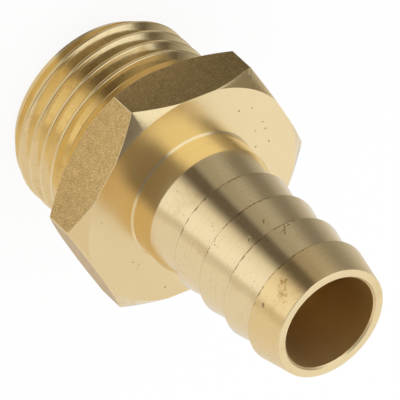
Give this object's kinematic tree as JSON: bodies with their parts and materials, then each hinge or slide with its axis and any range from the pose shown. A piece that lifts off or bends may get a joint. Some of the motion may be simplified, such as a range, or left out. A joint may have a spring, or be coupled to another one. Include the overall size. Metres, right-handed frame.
{
  "type": "hose barb tail",
  "caption": "Straight brass hose tail: male parallel pipe thread, spanner hexagon and barbed hose spigot, bored through.",
  "frame": {"origin": "centre of the thread's end face, where the fitting stands", "axes": "+Z along the bore's axis from the thread end to the barbed tip, +X through a corner of the hexagon"},
  "size_m": [0.0276, 0.024, 0.04],
  "materials": {
    "brass": "machined satin"
  },
  "bodies": {
    "root": {"hose_tail": "brass"}
  },
  "joints": []
}
